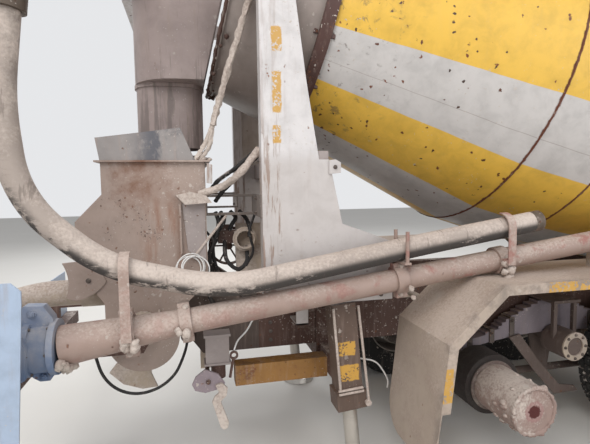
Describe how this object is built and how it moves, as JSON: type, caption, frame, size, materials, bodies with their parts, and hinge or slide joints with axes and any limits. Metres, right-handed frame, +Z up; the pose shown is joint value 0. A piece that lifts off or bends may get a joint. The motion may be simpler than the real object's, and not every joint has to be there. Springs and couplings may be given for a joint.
{
  "type": "rear end of a concrete mixer pump truck",
  "caption": "Rear working end of a truck that mixes and pumps concrete: bogie, ribless drum on rollers, chute, pump hopper, delivery pipe, stowed hose and jacks.",
  "frame": {"origin": "on the ground, under the middle of the length and of the width", "axes": "+X is the driving direction, +Y is the truck's left side, +Z is up"},
  "size_m": [7.958, 2.5, 4.03],
  "materials": {
    "frame_beige": "matte",
    "frame_dark": "matte",
    "drum_paint": "satin",
    "ring_steel": "rough",
    "cast": "rough",
    "white_paint": "satin",
    "grey_paint": "matte",
    "grate_steel": "rough",
    "blue_paint": "satin",
    "pipe_paint": "matte",
    "hose_rubber": "matte",
    "tyre_rubber": "matte",
    "rim_paint": "matte",
    "spring_steel": "rough",
    "rod_steel": "polished",
    "yellow_paint": "matte",
    "pale_panel": "satin",
    "lamp_plastic": "gloss"
  },
  "bodies": {
    "chassis": {"rails": "frame_dark", "subframe": "frame_dark", "cross_members": "frame_dark", "axle_rear": "cast", "axle_front": "cast", "leaf_springs": "spring_steel", "bogie_frame": "frame_beige", "mudguards": "frame_beige", "mudguard_bars": "frame_beige", "pedestal_sides": "white_paint", "pedestal_beams": "grey_paint", "drum_drive": "cast", "front_pedestal": "white_paint", "discharge_chute": "grey_paint", "drop_sleeve": "grey_paint", "mouth_frame": "white_paint", "feed_hopper": "grey_paint", "pump_hopper": "frame_beige", "hopper_grate": "grate_steel", "splash_plates": "grey_paint", "pump_unit": "grey_paint", "hopper_arms": "frame_dark", "hopper_ties": "frame_dark", "outlet_bend": "frame_beige", "outlet_coupling": "blue_paint", "reducer": "pipe_paint", "delivery_pipe_rear": "pipe_paint", "delivery_pipe_front": "pipe_paint", "pipe_clamps": "pipe_paint", "pipe_brackets": "frame_beige", "end_hose": "hose_rubber", "hose_fittings": "grate_steel", "hose_hanger": "grey_paint", "jack_beam": "frame_dark", "rear_jack_legs": "frame_beige", "outrigger_tubes": "frame_beige", "underrun_bar": "frame_dark", "lamp_boards": "pale_panel", "tail_lamps": "lamp_plastic", "side_bars": "yellow_paint"},
    "drum": {"drum_shell": "drum_paint", "riding_ring": "ring_steel"},
    "roller_right": {"drum_roller_right": "cast"},
    "roller_left": {"drum_roller_left": "cast"},
    "hub_rear_right": {"hub_rear_right": "cast"},
    "wheels_rear_left": {"tyres_rear_left": "tyre_rubber", "rims_rear_left": "rim_paint"},
    "wheels_front_right": {"tyres_front_right": "tyre_rubber", "rims_front_right": "rim_paint"},
    "wheels_front_left": {"tyres_front_left": "tyre_rubber", "rims_front_left": "rim_paint"},
    "rear_jack_right": {"rear_jack_rod_right": "rod_steel"},
    "rear_jack_left": {"rear_jack_rod_left": "rod_steel"},
    "outrigger_right": {"outrigger_beam_right": "frame_beige"},
    "outrigger_left": {"outrigger_beam_left": "frame_beige"},
    "front_jack_right": {"front_jack_rod_right": "rod_steel"},
    "front_jack_left": {"front_jack_rod_left": "rod_steel"}
  },
  "joints": [
    {"name": "drum_spin", "type": "hinge", "parent": "chassis", "child": "drum", "pos_m": [-0.513, 0, 2.751], "axis": [0.9731, 0, -0.2306], "continuous": true},
    {"name": "roller_right_spin", "type": "hinge", "parent": "chassis", "child": "roller_right", "pos_m": [-2.05953, -0.49934, 2.2962], "axis": [0.9731, 0, -0.2306], "continuous": true},
    {"name": "roller_left_spin", "type": "hinge", "parent": "chassis", "child": "roller_left", "pos_m": [-2.05953, 0.49934, 2.2962], "axis": [0.9731, 0, -0.2306], "continuous": true},
    {"name": "hub_rear_right_spin", "type": "hinge", "parent": "chassis", "child": "hub_rear_right", "pos_m": [-0.8, -0.9, 0.52], "axis": [0, 1, 0], "continuous": true},
    {"name": "wheels_rear_left_spin", "type": "hinge", "parent": "chassis", "child": "wheels_rear_left", "pos_m": [-0.8, 0.92, 0.52], "axis": [0, 1, 0], "continuous": true},
    {"name": "wheels_front_right_spin", "type": "hinge", "parent": "chassis", "child": "wheels_front_right", "pos_m": [0.6, -0.92, 0.52], "axis": [0, 1, 0], "continuous": true},
    {"name": "wheels_front_left_spin", "type": "hinge", "parent": "chassis", "child": "wheels_front_left", "pos_m": [0.6, 0.92, 0.52], "axis": [0, 1, 0], "continuous": true},
    {"name": "rear_jack_right_slide", "type": "slide", "parent": "chassis", "child": "rear_jack_right", "axis": [-0.0872, 0, 0.9962], "range_m": [0, 0.43]},
    {"name": "rear_jack_left_slide", "type": "slide", "parent": "chassis", "child": "rear_jack_left", "axis": [-0.0872, 0, 0.9962], "range_m": [0, 0.43]},
    {"name": "outrigger_right_slide", "type": "slide", "parent": "chassis", "child": "outrigger_right", "axis": [0, -1, 0], "range_m": [0, 0.8]},
    {"name": "outrigger_left_slide", "type": "slide", "parent": "chassis", "child": "outrigger_left", "axis": [0, 1, 0], "range_m": [0, 0.8]},
    {"name": "front_jack_right_slide", "type": "slide", "parent": "outrigger_right", "child": "front_jack_right", "axis": [0, 0, 1], "range_m": [0, 0.43]},
    {"name": "front_jack_left_slide", "type": "slide", "parent": "outrigger_left", "child": "front_jack_left", "axis": [0, 0, 1], "range_m": [0, 0.43]}
  ],
  "couplings": [
    {"joint": "roller_right_spin", "follows": "drum_spin", "ratio": -7.5636},
    {"joint": "roller_left_spin", "follows": "drum_spin", "ratio": -7.5636}
  ]
}
